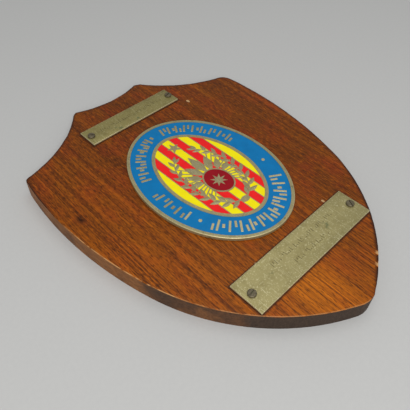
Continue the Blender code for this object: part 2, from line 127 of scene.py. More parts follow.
class Recipe:
    """A material in the making, with short forms of the nodes that the finishes share.

    Attributes:
        material: The material, with a Principled shader.
        tree: Its node tree.
        in_mm: The object's own coordinates in millimetres.
    """

    def __init__(self, name: str) -> None:
        """Starts the material.

        Args:
            name: The material's name.
        """
        self.material = bpy.data.materials.new(name)
        self.material.use_nodes = True
        self.tree = self.material.node_tree
        place = self.add("ShaderNodeTexCoord", output="Object")
        self.in_mm = self.mapped(place, (1 / MM, 1 / MM, 1 / MM))

    def add(self, kind: str, values: dict[Any, Any] | None = None, output: int | str = 0,
            **settings: Any) -> Socket:
        """Adds a node and returns one of its outputs."""
        return add_node(self.tree, kind, values, **settings).outputs[output]

    def mapped(self, place: Socket, scale: Point = (1, 1, 1), offset: Point = (0, 0, 0),
               turn: float = 0.0, kind: str = "POINT") -> Socket:
        """Coordinates that are scaled, turned about Z by a number of degrees and moved."""
        return self.add("ShaderNodeMapping", {
            "Vector": place, "Location": offset, "Rotation": (0, 0, math.radians(turn)), "Scale": scale},
            vector_type=kind)

    def noise(self, place: Socket, scale: float, detail: float, roughness: float = 0.5) -> Socket:
        """Soft noise of about 0 to 1."""
        return self.add("ShaderNodeTexNoise", {
            "Vector": place, "Scale": scale, "Detail": detail, "Roughness": roughness})

    def maths(self, operation: str, *terms: Any, clamp: bool = False) -> Socket:
        """One sum on numbers or outputs, kept within 0 and 1 if clamp is set."""
        return self.add("ShaderNodeMath", dict(enumerate(terms)), operation=operation, use_clamp=clamp)

    def vector(self, operation: str, *terms: Any) -> Socket:
        """One sum on vectors. LENGTH gives a number."""
        output = "Value" if operation == "LENGTH" else "Vector"
        return self.add("ShaderNodeVectorMath", dict(enumerate(terms)), output, operation=operation)

    def spread(self, value: Socket, low: float, high: float, at_high: float = 1.0,
               at_low: float = 0.0) -> Socket:
        """Maps low to at_low and high to at_high, evenly between them and flat beyond."""
        return self.add("ShaderNodeMapRange", {
            "Value": value, "From Min": low, "From Max": high, "To Min": at_low, "To Max": at_high})

    def mix(self, share: Socket, under: Socket | str, over: Socket | str) -> Socket:
        """One colour laid over another by a share of 0 to 1.

        A Mix node's colour inputs are numbers 6 and 7, and its colour output is number 2.
        """
        return self.add("ShaderNodeMix", {0: share, 6: under, 7: over}, 2, data_type="RGBA")

    def toned(self, body: Socket, grain: Socket, tone: Span) -> Socket:
        """A colour made darker and paler along a grain, by the arguments of spread in tone."""
        return self.add("ShaderNodeVectorMath", {0: body, "Scale": self.spread(grain, *tone)},
                        operation="SCALE")

    def bump(self, height: Socket, strength: float, depth_mm: float, invert: bool = False) -> Socket:
        """A normal that follows a height too fine to model."""
        return self.add("ShaderNodeBump", {
            "Height": height, "Strength": strength, "Distance": depth_mm * MM}, invert=invert)

    def finish(self, values: dict[str, Any]) -> Material:
        """Fills the shader's inputs and returns the material."""
        feed(self.tree.nodes["Principled BSDF"], values)
        return self.material


@dataclass(frozen=True)
class VarnishedHardwood:
    """Reddish open-pored hardwood, such as sapele, planed and brushed with satin varnish.

    The varnish leaves a soft sheen. Ribbons of lighter and darker grain run up the board, with
    short dark pores along them. Pores are really 0.1 mm wide and are drawn wider, so they show.

    A grain below is its width across and its run along the board in mm, its detail and its seed.
    A share is where in its noise a layer starts and is full, and how strong it gets.
    """

    name: str = "satin_varnished_hardwood"
    dark: str = "#5c2b0a"
    middle: str = "#793d08"
    light: str = "#94500a"
    amber: str = "#b86108"
    honey: str = "#e8820e"
    rust: str = "#8c390f"
    pore: str = "#2b1406"
    bare: str = "#c09a6c"
    rubbed: str = "#c48f5a"
    # Dark colour of the painted shade along the far arris and beside the fittings, and of the grime beside
    # the fittings.
    shade_and_grime: str = "#371a0b"
    ribbon: Span = (4.0, 220.0, 5.0, 3.0)
    fibre: Span = (0.7, 34.0, 3.0, 11.0)
    pores: Span = (0.5, 3.2, 1.0, 23.0)
    streak: Span = (1.0, 260.0, 2.0, 41.0)
    grain_roughness: float = 0.6
    ribbon_stops: Point = (0.28, 0.72, 0.50)
    bend_per_mm: Point = (0.017, 0.0055, 0.017)
    wander_mm: float = 4.0
    mottle_per_mm: Point = (1 / 13, 0.55 / 13, 1 / 13)
    rust_share: Span = (0.46, 0.66, 0.75)
    # Painted light: amber grows towards the board's left and bottom, nearer the lights, at these rates per
    # mm.
    painted_light_per_mm: Pair = (-0.0062, -0.0050)
    painted_light_share: Span = (-0.10, 0.55, 0.85)
    spot_squeeze: Point = (1.0, 0.7, 0.0)
    patch: tuple[Point, float, float] = ((-15.0, -86.0, 0.0), 3.0, 21.0)
    knot: tuple[Point, float, float] = ((-75.0, 27.0, 0.0), 0.6, 3.4)
    knot_strength: float = 0.9
    fibre_tone: Span = (0.3, 0.7, 1.32, 0.58)
    streak_share: Span = (0.54, 0.63, 0.72)
    pore_share: Span = (0.55, 0.67, 0.62)
    glint_share: Span = (0.40, 0.30, 0.55)
    casting_mm: Span = (0.24, 5.6, 39.8, 50.3, 2.2)
    plates_mm: Sequence[Span] = ((0.7, -67.0, 46.4, 10.45, 1.48), (0.2, 80.7, 35.6, 7.5, 1.32))
    # Grime and painted contact shade beside the fittings: full within the first distance in mm, gone at the
    # second.
    grime_and_contact_shade_share: Span = (0.35, 1.35, 0.0, 0.85)
    specks_per_mm: float = 0.22
    speck_share: Span = (0.36, 0.52)
    ding_share: Span = (1.0, 1.5)
    roughness: float = 0.40
    relief: Pair = (0.35, 0.2)

    def build(self) -> Material:
        """Makes the material.

        It reads the board's attribute of wear and painted shade: varnish rubbed thin from 0 to 1, bare
        wood above that, and below 0 painted shade along the far arris.
        """
        recipe = Recipe(self.name)
        bend = recipe.noise(recipe.mapped(recipe.in_mm, self.bend_per_mm), 1.0, 1.5)
        wander = recipe.maths("MULTIPLY", recipe.maths("SUBTRACT", bend, 0.5), 2 * self.wander_mm)
        push = recipe.add("ShaderNodeCombineXYZ", {"X": wander})
        place = recipe.vector("ADD", recipe.in_mm, push)
        ribbon, fibre, pores, streak = (self.along_grain(recipe, place, grain) for grain in (
            self.ribbon, self.fibre, self.pores, self.streak))
        mottle = recipe.noise(recipe.mapped(place, self.mottle_per_mm), 1.0, 3.0, 0.55)
        body = recipe.add("ShaderNodeValToRGB", {"Fac": ribbon}, stops=tuple(
            zip(self.ribbon_stops, (self.dark, self.light, self.middle))))

        parts = add_node(recipe.tree, "ShaderNodeSeparateXYZ", {"Vector": recipe.in_mm}).outputs
        # Painted light: the board turns more amber towards its left and bottom and duller towards the far
        # top.
        leftness = recipe.maths("MULTIPLY", parts[0], self.painted_light_per_mm[0])
        lowness = recipe.maths("MULTIPLY_ADD", parts[1], self.painted_light_per_mm[1], leftness)
        painted_light = recipe.maths("MULTIPLY", recipe.spread(lowness, *self.painted_light_share), ribbon, clamp=True)
        patch = recipe.maths("MULTIPLY", self.near(recipe, place, *self.patch), ribbon)
        knot = recipe.maths("MULTIPLY", self.near(recipe, place, *self.knot), self.knot_strength)
        holes = recipe.spread(pores, *self.pore_share)

        # Darker beside the casting and the plates: grime, and painted shade where they meet the board.
        close = self.beside(recipe, self.casting_mm, True)
        for plate in self.plates_mm:
            close = recipe.maths("MINIMUM", close, self.beside(recipe, plate, False))
        # Below 0 the attribute is painted shade along the far arris. film is the share of that, and of the
        # grime and painted shade beside the fittings.
        wear_and_shade = recipe.add("ShaderNodeAttribute", output="Fac", attribute_name="wear_and_shade")
        far_arris_shade = recipe.maths("MULTIPLY", wear_and_shade, -1.0)
        film = recipe.maths("MAXIMUM", far_arris_shade, recipe.spread(close, *self.grime_and_contact_shade_share), clamp=True)
        gate = recipe.spread(recipe.noise(recipe.in_mm, self.specks_per_mm, 5.0), *self.speck_share)

        for share, over in ((recipe.spread(mottle, *self.rust_share), self.rust), (painted_light, self.amber),
                            (patch, self.honey)):
            body = recipe.mix(share, body, over)
        body = recipe.toned(body, fibre, self.fibre_tone)
        for share, over in ((recipe.spread(streak, *self.streak_share), self.dark), (holes, self.pore),
                            (recipe.spread(pores, *self.glint_share), self.amber), (knot, self.pore),
                            (film, self.shade_and_grime),
                            (recipe.maths("MULTIPLY", wear_and_shade, gate, clamp=True), self.rubbed),
                            (recipe.spread(wear_and_shade, *self.ding_share), self.bare)):
            body = recipe.mix(share, body, over)

        depth = recipe.maths("MULTIPLY_ADD", holes, fibre, 0.4)
        return recipe.finish({
            "Base Color": body,
            "Roughness": recipe.spread(mottle, 0.0, 1.0, self.roughness + 0.08, self.roughness - 0.06),
            "Normal": recipe.bump(depth, *self.relief, invert=True),
            "IOR": 1.5, "Specular IOR Level": 0.15, "Coat Weight": 0.04, "Coat Roughness": 0.3})

    def along_grain(self, recipe: Recipe, place: Socket, grain: Span) -> Socket:
        """Noise drawn out along the board.

        Args:
            recipe: The material in the making.
            place: The grain's own wandering coordinates, in mm.
            grain: Its width, run, detail and seed.

        Returns:
            The noise.
        """
        width, run, detail, seed = grain
        stretched = recipe.mapped(place, (1 / width, 1 / run, 1 / width), (seed, seed, 0))
        return recipe.noise(stretched, 1.0, detail, self.grain_roughness)

    def near(self, recipe: Recipe, place: Socket, spot: Point, full: float, none: float) -> Socket:
        """A share that is 1 near a spot and fades away from it.

        Args:
            recipe: The material in the making.
            place: The grain's own coordinates, in mm.
            spot: The spot's middle, in mm.
            full: How far the full share reaches, in mm.
            none: Where it has faded to 0, in mm.

        Returns:
            The share.
        """
        away = recipe.vector("MULTIPLY", recipe.vector("SUBTRACT", place, spot), self.spot_squeeze)
        return recipe.spread(recipe.vector("LENGTH", away), full, none, 0.0, 1.0)

    def beside(self, recipe: Recipe, fitting: Span, oval: bool) -> Socket:
        """How far a point of the front lies outside a fitting.

        Args:
            recipe: The material in the making.
            fitting: Its middle and half sizes in mm, and its turn in degrees.
            oval: Whether it is an oval and not a rectangle.

        Returns:
            The distance in mm.
        """
        x, y, half_x, half_y, turn = fitting
        own = recipe.mapped(recipe.in_mm, offset=(x, y, 0), turn=turn, kind="TEXTURE")
        if oval:
            reach = recipe.vector("LENGTH", recipe.vector("MULTIPLY", own, (1 / half_x, 1 / half_y, 0)))
            return recipe.maths("MULTIPLY_ADD", reach, half_x, -half_x)
        any_height = 1000
        over = recipe.vector("SUBTRACT", recipe.vector("ABSOLUTE", own), (half_x, half_y, any_height))
        return recipe.vector("LENGTH", recipe.vector("MAXIMUM", over, (0, 0, 0)))


@dataclass(frozen=True)
class StainedEdgeWood:
    """The board's sawn and stained side: short fibres, dark stain and grime, paler and browner at left."""

    name: str = "stained_sawn_edge"
    stain: str = "#5a3d29"
    grime: str = "#44352b"
    rubbed: str = "#8a5a33"
    stain_stops: Point = (0.34, 0.70, 0.50)
    fibre_mm: float = 0.7
    fibre_run_mm: float = 14.0
    fibre_tone: Span = (0.3, 0.7, 1.26, 0.72)
    patch_mm: float = 22.0
    paler_to_left: Span = (-80.0, -45.0, -0.22, 0.17)
    roughness: float = 0.62
    relief: Pair = (0.4, 0.25)

    def build(self) -> Material:
        """Makes the material."""
        recipe = Recipe(self.name)
        stretched = recipe.mapped(recipe.in_mm, (
            1 / self.fibre_mm, 1 / self.fibre_run_mm, 0.5 / self.fibre_mm))
        fibre = recipe.noise(stretched, 1.0, 3.0)
        patches = recipe.noise(recipe.in_mm, 1 / self.patch_mm, 4.0)
        across = recipe.add("ShaderNodeSeparateXYZ", {"Vector": recipe.in_mm})
        # The side turns paler and browner towards the left, by its place alone.
        share = recipe.maths("ADD", patches, recipe.spread(across, *self.paler_to_left))
        body = recipe.add("ShaderNodeValToRGB", {"Fac": share}, stops=tuple(
            zip(self.stain_stops, (self.grime, self.rubbed, self.stain))))
        return recipe.finish({
            "Base Color": recipe.toned(body, fibre, self.fibre_tone),
            "Normal": recipe.bump(fibre, *self.relief),
            "Roughness": self.roughness, "IOR": 1.45, "Specular IOR Level": 0.2})


@dataclass(frozen=True)
class AgedBrass:
    """Rolled or cast brass gone dull: a khaki oxide film, paler rubbed flecks and darker stains.

    The film scatters the light, so the metal looks soft and even rather than polished. A share is
    where in its noise a layer starts and is full, and how strong it gets.
    """

    name: str
    film: str
    pale: str
    stain: str
    roughness: float = 0.48
    metallic: float = 0.6
    patch_mm: float = 7.0
    fleck_mm: float = 0.9
    scratch_mm: float = 0.35
    scratch_per_mm: float = 0.10
    scratch_turn: float = 38.0
    green: str = "#66704a"
    stain_share: Span = (0.50, 0.72, 0.55)
    fleck_share: Span = (0.56, 0.70, 0.75)
    scratch_share: Span = (0.66, 0.73, 0.8)
    green_share: Span = (0.64, 0.70, 0.7)
    relief: Pair = (0.15, 0.08)

    def build(self) -> Material:
        """Makes the material."""
        recipe = Recipe(self.name)
        patches = recipe.noise(recipe.in_mm, 1 / self.patch_mm, 5.0, 0.6)
        flecks = recipe.noise(recipe.in_mm, 1 / self.fleck_mm, 2.0)
        spots = recipe.noise(recipe.in_mm, 0.6 / self.patch_mm, 3.0, 0.7)
        turned = recipe.mapped(recipe.in_mm, (
            1 / self.scratch_mm, self.scratch_per_mm, 1 / self.scratch_mm), turn=self.scratch_turn)
        scratches = recipe.noise(turned, 1.0, 1.0)
        rubbed = recipe.maths("MAXIMUM", recipe.spread(flecks, *self.fleck_share),
                              recipe.spread(scratches, *self.scratch_share))
        body = recipe.mix(recipe.spread(patches, *self.stain_share), self.film, self.stain)
        body = recipe.mix(rubbed, body, self.pale)
        body = recipe.mix(recipe.spread(spots, *self.green_share), body, self.green)
        return recipe.finish({
            "Base Color": body,
            "Roughness": recipe.spread(patches, 0.0, 1.0, self.roughness + 0.12, self.roughness - 0.08),
            "Normal": recipe.bump(scratches, *self.relief),
            "Metallic": self.metallic})


@dataclass(frozen=True)
class FilledEnamel:
    """Soft enamel poured into a recess and left as it set: strong flat colour with a slight ripple."""

    name: str
    colour: str
    deep: str
    roughness: float = 0.28
    ripple_mm: float = 5.0
    deep_share: Span = (0.35, 0.70, 0.6)
    relief: Pair = (0.12, 0.3)

    def build(self) -> Material:
        """Makes the material."""
        recipe = Recipe(self.name)
        ripple = recipe.noise(recipe.in_mm, 1 / self.ripple_mm, 3.0)
        return recipe.finish({
            "Base Color": recipe.mix(recipe.spread(ripple, *self.deep_share), self.colour, self.deep),
            "Normal": recipe.bump(ripple, *self.relief),
            "Roughness": self.roughness, "IOR": 1.52, "Specular IOR Level": 0.22})


@dataclass(frozen=True)
class GreyBackdrop:
    """Matt pale grey card under the plaque."""

    name: str = "matt_grey_card"
    light: str = "#c9c8c5"
    dark: str = "#c3c2c0"
    grain_mm: float = 2.0
    roughness: float = 0.9

    def build(self) -> Material:
        """Makes the material."""
        recipe = Recipe(self.name)
        speck = recipe.noise(recipe.in_mm, 1 / self.grain_mm, 3.0)
        return recipe.finish({
            "Base Color": recipe.mix(speck, self.light, self.dark), "Roughness": self.roughness})


class Finish(Enum):
    """Every finish on the plaque and the card under it."""

    BOARD_FRONT = VarnishedHardwood()
    BOARD_EDGE = StainedEdgeWood()
    LOWER_PLATE = AgedBrass("dull_plate_brass", "#ada16d", "#d8cfa1", "#877a4a")
    # The upper plate's brass is the lower plate's made darker: painted shade on the far plate.
    UPPER_PLATE = AgedBrass("far_plate_brass_painted_shade", "#9d915a", "#bfb585", "#776b40")
    CASTING = AgedBrass("dull_cast_brass", "#aca176", "#cfc59c", "#877a55", patch_mm=4.0, fleck_mm=0.6)
    # Paler brass on the plates' edges: rubbed brass, and a painted highlight.
    RUBBED = AgedBrass("plate_edge_rubbed_and_highlit", "#d6cb9c", "#ece4c0", "#b0a475", 0.36, 0.6)
    # Paler brass laid on the casting's rim bevel and lower relief: a painted highlight.
    RIM = AgedBrass("painted_highlight_casting_rim", "#cdbf90", "#e6dbae", "#a39468", 0.40, 0.6, 4.0, 0.6)
    SCREW = AgedBrass("tarnished_screw_brass", "#6f6550", "#978b6e", "#4a4233", 0.5, 0.6, 1.6, 0.5)
    INK = AgedBrass("blackened_engraving", "#5b5334", "#746b45", "#453e27", 0.6, 0.3)
    BLUE = FilledEnamel("blue_enamel", "#0078b6", "#006ca6")
    YELLOW = FilledEnamel("yellow_enamel", "#fff000", "#fae000")
    RED = FilledEnamel("red_enamel", "#f82020", "#e61a1c")
    DARK_RED = FilledEnamel("dark_red_enamel", "#9a0618", "#860414")
    CARD = GreyBackdrop()

    def material(self) -> Material:
        """The finish's one material, made the first time it is asked for."""
        return bpy.data.materials.get(self.value.name) or self.value.build()


def only(piece: Object) -> None:
    """Selects one object, and nothing else, and makes it active.

    Args:
        piece: The object.
    """
    bpy.ops.object.select_all(action="DESELECT")
    piece.select_set(True)
    bpy.context.view_layer.objects.active = piece


@contextmanager
def editing(piece: Object, kind: str = "FACE") -> Iterator[None]:
    """Opens a piece in edit mode with nothing selected, and closes it again.

    Args:
        piece: The mesh object to edit.
        kind: What is selected in it: "VERT", "EDGE" or "FACE".

    Yields:
        Nothing: the block inside runs the operators.
    """
    only(piece)
    bpy.ops.object.mode_set(mode="EDIT")
    bpy.ops.mesh.select_mode(type=kind)
    bpy.ops.mesh.select_all(action="DESELECT")
    yield
    bpy.ops.object.mode_set(mode="OBJECT")


def pick(piece: Object, kind: str, wanted: Callable[[Any], bool]) -> None:
    """Selects the parts of a mesh in edit mode that pass a test, and drops the rest.

    Args:
        piece: The object in edit mode.
        kind: "verts", "edges" or "faces".
        wanted: The test that each vertex, edge or face is given.
    """
    shape = bmesh.from_edit_mesh(piece.data)
    for group in (shape.faces, shape.edges, shape.verts):
        for part in group:
            part.select = False
    for part in getattr(shape, kind):
        if wanted(part):
            part.select_set(True)
    shape.select_flush_mode()
    bmesh.update_edit_mesh(piece.data)


def above(level: float) -> Callable[[Any], bool]:
    """A test that passes an edge or face all of whose points lie above a height."""
    return lambda part: all(v.co.z > level for v in part.verts)


def pick_all(kind: str | None = None) -> None:
    """Selects the whole mesh in edit mode, and first sets what is selected if kind is given."""
    if kind is not None:
        bpy.ops.mesh.select_mode(type=kind)
    bpy.ops.mesh.select_all(action="SELECT")


def face_outwards() -> None:
    """Turns every face of the closed mesh in edit mode outwards."""
    pick_all()
    bpy.ops.mesh.normals_make_consistent(inside=False)


def extrude(rise: float) -> None:
    """Extrudes what is selected in edit mode straight up, or down where rise is below 0."""
    bpy.ops.mesh.extrude_region_move(TRANSFORM_OT_translate={"value": (0, 0, rise)})


def named(name: str) -> Object:
    """Names the active object and its mesh.

    Args:
        name: The name of both.

    Returns:
        The active object.
    """
    piece = bpy.context.object
    piece.name = name
    piece.data.name = name
    return piece


def primitive(kind: str, name: str, **options: Any) -> Object:
    """Adds one of Blender's mesh primitives with nothing else selected.

    Args:
        kind: The primitive, such as "cube".
        name: The new object's name.
        options: What the primitive's operator takes.

    Returns:
        The object.
    """
    bpy.ops.object.select_all(action="DESELECT")
    getattr(bpy.ops.mesh, f"primitive_{kind}_add")(**options)
    return named(name)


def settle(piece: Object) -> Object:
    """Moves an object's place, turn and scale into its mesh.

    Args:
        piece: The mesh object.

    Returns:
        The same object.
    """
    only(piece)
    bpy.ops.object.transform_apply(location=True, rotation=True, scale=True)
    return piece


def at(x: float, y: float, z: float = 0.0, turn: float = 0.0) -> Matrix:
    """The matrix that turns a piece about Z and moves it to a place."""
    return Matrix.Translation((x, y, z)) @ Matrix.Rotation(turn, 4, "Z")


def copy_of(piece: Object, place: Matrix) -> Object:
    """Copies a piece with a mesh of its own and moves that mesh.

    Args:
        piece: The piece to copy, settled.
        place: Where the copy goes.

    Returns:
        The copy.
    """
    twin = piece.copy()
    twin.data = piece.data.copy()
    twin.data.transform(place)
    bpy.context.scene.collection.objects.link(twin)
    return twin


def discard(*pieces: Object) -> None:
    """Removes models that were only copied from or cut with."""
    for piece in pieces:
        bpy.data.objects.remove(piece, do_unlink=True)


def combine(piece: Object, tools: Sequence[Object], operation: str) -> None:
    """Adds tool objects to a piece, or cuts them out of it, in one step, and removes the tools.

    Args:
        piece: The piece that is kept.
        tools: The objects that are added or cut out.
        operation: "UNION" or "DIFFERENCE".
    """
    group = bpy.data.collections.new("tools")
    bpy.context.scene.collection.children.link(group)
    for tool in tools:
        group.objects.link(tool)
    only(piece)
    change = piece.modifiers.new("combine", "BOOLEAN")
    change.operation = operation
    change.solver = "EXACT"
    change.operand_type = "COLLECTION"
    change.collection = group
    bpy.ops.object.modifier_apply(modifier=change.name)
    discard(*tools)
    bpy.data.collections.remove(group)


def round_edges(piece: Object, width: float, segments: int = 2, angle: float = 30.0) -> None:
    """Rounds the sharp edges of a piece with a Bevel modifier and applies it.

    Args:
        piece: The mesh object.
        width: The bevel's width.
        segments: How many steps it has.
        angle: The least angle of an edge that it rounds, in degrees.
    """
    only(piece)
    bevel = piece.modifiers.new("edge", "BEVEL")
    bevel.width = width
    bevel.segments = segments
    bevel.limit_method = "ANGLE"
    bevel.angle_limit = math.radians(angle)
    bpy.ops.object.modifier_apply(modifier=bevel.name)


def shade(piece: Object, angle: float) -> None:
    """Shades a piece smooth except over edges sharper than an angle in degrees."""
    only(piece)
    bpy.ops.object.shade_smooth_by_angle(angle=math.radians(angle))


def dress(piece: Object, finishes: Sequence[Finish],
          choose: Callable[[Face], Finish] | None = None) -> None:
    """Gives a piece its finishes.

    Args:
        piece: The mesh object.
        finishes: One finish for each material slot.
        choose: Gives a face's finish. All faces keep their slot where it is left out.
    """
    piece.data.materials.clear()
    for finish in finishes:
        piece.data.materials.append(finish.material())
    if choose is not None:
        for face in piece.data.polygons:
            face.material_index = finishes.index(choose(face))


def install(piece: Object, slot: str, *nodes: str) -> None:
    """Makes a finished piece ride on the plaque in the place of its CAD nodes, and logs it.

    Args:
        piece: The piece.
        slot: The record's material slot for it; not used.
        nodes: The CAD nodes that it replaces.
    """
    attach(piece, "root")
    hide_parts(*nodes)
    LOG.info("%s: %d faces, in the place of %s", piece.name, len(piece.data.polygons), ", ".join(nodes))


def bar(name: str, width: float, length: float, low: float, high: float,
        eased_share: float = 0.14) -> Object:
    """An upright block about the origin with its upper edges eased.

    Args:
        name: The bar's name.
        width: Its size along X.
        length: Its size along Y.
        low: Its underside's height.
        high: Its top's height.
        eased_share: The share of its width that the easing takes.

    Returns:
        The bar, settled.
    """
    made = primitive("cube", name, size=1.0, location=(0.0, 0.0, (low + high) / 2))
    made.scale = (width, length, high - low)
    settle(made)
    if eased_share > 0:
        with editing(made, "EDGE"):
            pick(made, "edges", above(high - SAME_PLACE))
            bpy.ops.mesh.bevel(offset=width * eased_share, segments=2, affect="EDGES")
    return made


def disc(name: str, half: Pair, low: float, high: float, sides: int,
         place: Pair = (0.0, 0.0)) -> Object:
    """An upright round or oval disc.

    Args:
        name: The disc's name.
        half: Its half sizes along X and Y.
        low: Its underside's height.
        high: Its top's height.
        sides: How many sides it has.
        place: Its middle.

    Returns:
        The disc, settled.
    """
    made = primitive("cylinder", name, vertices=sides, radius=1.0, depth=high - low, end_fill_type="NGON",
                     location=(*place, (low + high) / 2))
    made.scale = (*half, 1.0)
    return settle(made)


@dataclass
class ShieldBoard:
    """The wooden board: the CAD outline with a hand-worn arris, chips and small dents.

    A dent is its place, radius and depth, and a chip is its place and reach, all in mm.
    """

    node: str = "shield_board"
    outline_step: float = 1.2 * MM
    step_multiples: Span = (16, 8, 4, 2, 1.3)
    arris: float = 0.6 * MM
    arris_segments: int = 4
    wear_depth: float = 0.35 * MM
    wear_size: float = 7.0 * MM
    wear_middle: float = 0.35
    border: float = 1.6 * MM
    dents: Sequence[Span] = ((-75.0, 27.0, 1.3, 0.5), (40.5, 68.6, 1.3, 0.18), (34.4, -53.6, 1.0, 0.22),
                             (-26.0, -57.0, 0.7, 0.18))
    dent_shape: Pair = (0.75, 1.25)
    bare_dents_from_mm: float = -60.0
    dent_floor: float = 0.004 * MM
    chips: Sequence[Point] = (
        (46.8, -73.0, 1.6), (26.7, -95.2, 1.4), (20.5, -99.8, 1.6), (77.1, 72.7, 1.6))
    bare: float = 1.6
    rubbed: float = 1.0
    rubbed_at_tip: float = 0.45
    tip_below_mm: float = -45.0
    far_side_mm: Sequence[Pair] = ((18.0, 30.0), (-5.0, 20.0))
    # Painted shade: how far the value falls below 0 along the far arris, and the share of that on the front
    # beside it.
    shade_and_grime: float = 2.0
    far_shade_beside: float = 0.7
    rubbed_band: Pair = (0.12, 0.75)
    side_below: float = 0.35
    front: float = 0.0
    outline: KDTree | None = None

    def build(self) -> Object:
        """Models the board, dresses it and puts it in place of its CAD node."""
        low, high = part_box(self.node)
        self.front = high.z
        board = self.back_face(low.z)
        self.raise_sides(board, high.z - low.z)
        for step in (self.wear_arris, self.add_dents, self.mark_wear_and_shade):
            step(board)
        dress(board, (Finish.BOARD_FRONT, Finish.BOARD_EDGE), lambda face: (
            Finish.BOARD_EDGE if face.normal.z < self.side_below else Finish.BOARD_FRONT))
        shade(board, SMOOTH_BELOW)
        install(board, "board_wood", self.node)
        return board

    def back_face(self, back: float) -> Object:
        """Copies the CAD node, keeps its flat back as one face and divides its outline evenly.

        Args:
            back: The height of the back.

        Returns:
            A flat sheet with the board's outline.
        """
        board = copy_of(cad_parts[self.node], Matrix.Identity(4))
        board.parent = None
        for key in list(board.keys()):
            del board[key]
        only(board)
        board = named("worn_shield_board")
        with editing(board):
            pick_all()
            bpy.ops.mesh.remove_doubles(threshold=SAME_PLACE)
            pick(board, "faces", lambda face: any(v.co.z > back + SAME_LEVEL for v in face.verts))
            bpy.ops.mesh.delete(type="FACE")
            pick_all()
            bpy.ops.mesh.dissolve_faces()
            pick_all()
            bpy.ops.mesh.delete(type="ONLY_FACE")
            bpy.ops.mesh.select_mode(type="EDGE")
            for multiple in self.step_multiples:
                longest = multiple * self.outline_step
                pick(board, "edges", lambda edge: edge.calc_length() > longest)
                bpy.ops.mesh.subdivide(number_cuts=1)
            pick_all()
            bpy.ops.mesh.edge_face_add()
        self.outline = KDTree(len(board.data.vertices))
        for vertex in board.data.vertices:
            self.outline.insert((vertex.co.x, vertex.co.y, 0), vertex.index)
        self.outline.balance()
        return board

    def raise_sides(self, board: Object, thickness: float) -> None:
        """Extrudes the outline to the board's thickness, rounds its front edge and insets the front.

        Args:
            board: The flat outline.
            thickness: The board's thickness.
        """
        with editing(board):
            pick_all()
            extrude(thickness)
            face_outwards()
            bpy.ops.mesh.select_mode(type="EDGE")
            pick(board, "edges", above(thickness / 2))
            bpy.ops.mesh.bevel(offset=self.arris, segments=self.arris_segments, profile=0.5,
                               affect="EDGES", clamp_overlap=False)
            bpy.ops.mesh.select_mode(type="FACE")
            pick(board, "faces", lambda face: face.normal.z > 0.999 and len(face.verts) > 20)
            bpy.ops.mesh.inset(thickness=self.border)

    def wear_arris(self, board: Object) -> None:
        """Rubs the rounded edge back unevenly, as handling does.

        Args:
            board: The board.
        """
        group = board.vertex_groups.new(name="arris")
        group.add([v.index for v in board.data.vertices if self.front - self.arris * 1.05 < v.co.z
                   and self.near_edge(v.co) < self.border], 1.0, "REPLACE")
        clouds = bpy.data.textures.new("arris_wear", "CLOUDS")
        clouds.noise_scale = self.wear_size
        only(board)
        rub = board.modifiers.new("rub", "DISPLACE")
        rub.texture = clouds
        rub.texture_coords = "LOCAL"
        rub.vertex_group = group.name
        rub.strength = -self.wear_depth
        rub.mid_level = self.wear_middle
        bpy.ops.object.modifier_apply(modifier=rub.name)
        board.vertex_groups.clear()

    def near_edge(self, point: Vector) -> float:
        """How far a point is from the nearest point of the outline, seen from the front."""
        return self.outline.find((point.x, point.y, 0))[2]

    def add_dents(self, board: Object) -> None:
        """Presses shallow dents into the front.

        Args:
            board: The board.
        """
        tools = []
        for index, (x, y, radius, depth) in enumerate(self.dents):
            tool = primitive("uv_sphere", f"dent_{index}", segments=16, ring_count=10, radius=radius * MM,
                             location=(x * MM, y * MM, self.front))
            tool.scale = (*self.dent_shape, depth / radius)
            tools.append(settle(tool))
        combine(board, tools, "DIFFERENCE")
        at_top = above(self.front - SAME_PLACE)
        with editing(board, "EDGE"):
            pick(board, "edges", lambda edge: (
                len(edge.link_faces) == 2 and at_top(edge) and self.near_edge(edge.verts[0].co) > self.border
                and min(face.normal.z for face in edge.link_faces) < 0.99999))
            bpy.ops.mesh.mark_sharp()

    def mark_wear_and_shade(self, board: Object) -> None:
        """Stores each vertex's wear, and the painted shade of the far arris, for the front's material.

        It is up to 1 where handling has rubbed the near arris, above 1 in a chip or a fresh dent,
        and below 0 along the far arris and the front beside it, where it lays painted shade.

        Args:
            board: The board.
        """
        wear_and_shade = board.data.attributes.new("wear_and_shade", "FLOAT", "POINT")
        for vertex, value in zip(board.data.vertices, wear_and_shade.data):
            edge = self.near_edge(vertex.co)
            x, y = vertex.co.xy / MM
            depth = self.front - vertex.co.z
            on_arris = depth < self.arris * 0.95 and edge < self.arris * 0.95
            beside = depth < self.arris and edge < self.border
            # Painted shade: rubbed falls below 0 towards the far arris, away from the lights, and darkens it
            # there. Above 0 it is rubbed wear.
            start, length = self.far_side_mm[0 if x < 0 else 1]
            far = min(max(((y if x < 0 else x) - start) / length, 0.0), 1.0)
            rubbed = (self.rubbed if y > self.tip_below_mm else self.rubbed_at_tip) - self.shade_and_grime * far
            if beside and any(math.hypot(x - at_x, y - at_y) < reach for at_x, at_y, reach in self.chips):
                value.value = self.bare
            elif on_arris:
                in_band = self.rubbed_band[0] < edge / self.arris < self.rubbed_band[1]
                value.value = rubbed if rubbed < 0 or in_band else 0.0
            # Painted shade on the front beside the far arris.
            elif beside:
                value.value = min(self.far_shade_beside * rubbed, 0.0)
            elif (edge > self.border and self.dent_floor < depth < self.front / 2
                  and x > self.bare_dents_from_mm):
                value.value = self.bare


